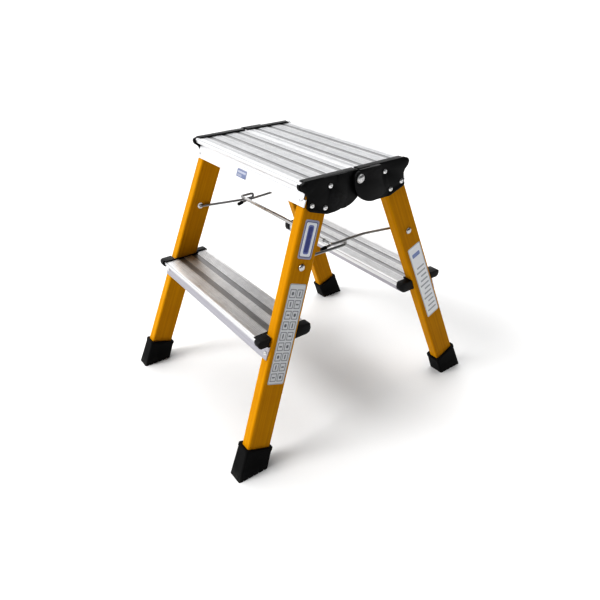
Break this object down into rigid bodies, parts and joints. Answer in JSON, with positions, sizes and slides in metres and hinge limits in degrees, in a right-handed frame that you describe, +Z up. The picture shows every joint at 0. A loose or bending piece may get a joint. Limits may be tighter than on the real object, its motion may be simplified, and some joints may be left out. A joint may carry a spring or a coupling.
{
  "type": "step ladder",
  "caption": "Double-sided folding step ladder: yellow glass-fibre stiles, ribbed aluminium treads and split top platform, black hinge caps and a folding wire spreader.",
  "frame": {"origin": "on the floor, under the middle of the open ladder", "axes": "+Z up; X across the width; Y in the depth, front frame on the -Y side and rear frame on the +Y side; the main hinge axis is parallel to X"},
  "size_m": [0.43, 0.5498, 0.4774],
  "materials": {
    "grp_yellow": "pultruded glass-fibre profile, yellow, satin",
    "plastic_black": "moulded nylon, fine texture",
    "rubber_black": "moulded rubber, matt",
    "aluminium_tread": "extruded, ribbed, mill finish",
    "aluminium_plain": "pressed, mill finish",
    "wire_steel": "drawn wire, zinc plated",
    "zinc_steel": "zinc plated",
    "rivet_alloy": "blind rivet, plain",
    "label_film": null
  },
  "bodies": {
    "front_frame": {"front_apron_rivets": "rivet_alloy", "front_cap_rivets": "rivet_alloy", "front_foot_left": "rubber_black", "front_foot_right": "rubber_black", "front_hinge_cap_left": "plastic_black", "front_hinge_cap_right": "plastic_black", "front_pin_bushes": "zinc_steel", "front_platform": "aluminium_tread", "front_step": "aluminium_tread", "front_step_bracket_left": "aluminium_plain", "front_step_bracket_right": "aluminium_plain", "front_step_cap_left": "plastic_black", "front_step_cap_right": "plastic_black", "front_step_rivets": "rivet_alloy", "front_stile_left": "grp_yellow", "front_stile_right": "grp_yellow", "hinge_bolts": "zinc_steel", "hinge_bushes": "zinc_steel", "hinge_nuts": "zinc_steel", "hinge_washers": "zinc_steel", "label_apron": "label_film", "label_lower": "label_film", "label_upper": "label_film"},
    "rear_frame": {"label_rear": "label_film", "rear_apron_rivets": "rivet_alloy", "rear_cap_rivets": "rivet_alloy", "rear_foot_left": "rubber_black", "rear_foot_right": "rubber_black", "rear_hinge_cap_left": "plastic_black", "rear_hinge_cap_right": "plastic_black", "rear_pin_bushes": "zinc_steel", "rear_platform": "aluminium_tread", "rear_step": "aluminium_tread", "rear_step_bracket_left": "aluminium_plain", "rear_step_bracket_right": "aluminium_plain", "rear_step_cap_left": "plastic_black", "rear_step_cap_right": "plastic_black", "rear_step_rivets": "rivet_alloy", "rear_stile_left": "grp_yellow", "rear_stile_right": "grp_yellow"},
    "front_bail": {"front_bail": "wire_steel", "bail_tube": "zinc_steel", "front_pin_heads": "zinc_steel"},
    "rear_arms": {"rear_arm_left": "wire_steel", "rear_arm_right": "wire_steel", "rear_pin_heads": "zinc_steel", "arm_end_caps": "plastic_black"}
  },
  "joints": [
    {"name": "main_fold", "type": "hinge", "parent": "front_frame", "child": "rear_frame", "pos_m": [0, 0, 0.463], "axis": [-1, 0, 0], "range_deg": [0, 46]},
    {"name": "bail_swing", "type": "hinge", "parent": "front_frame", "child": "front_bail", "pos_m": [0, -0.1177, 0.3424], "axis": [1, 0, 0], "range_deg": [0, 36.8]},
    {"name": "arm_swing", "type": "hinge", "parent": "rear_frame", "child": "rear_arms", "pos_m": [0, 0.1177, 0.3424], "axis": [-1, 0, 0], "range_deg": [0, 19.32]}
  ],
  "couplings": [
    {"joint": "bail_swing", "follows": "main_fold", "ratio": 0.8},
    {"joint": "arm_swing", "follows": "main_fold", "ratio": 0.42}
  ]
}
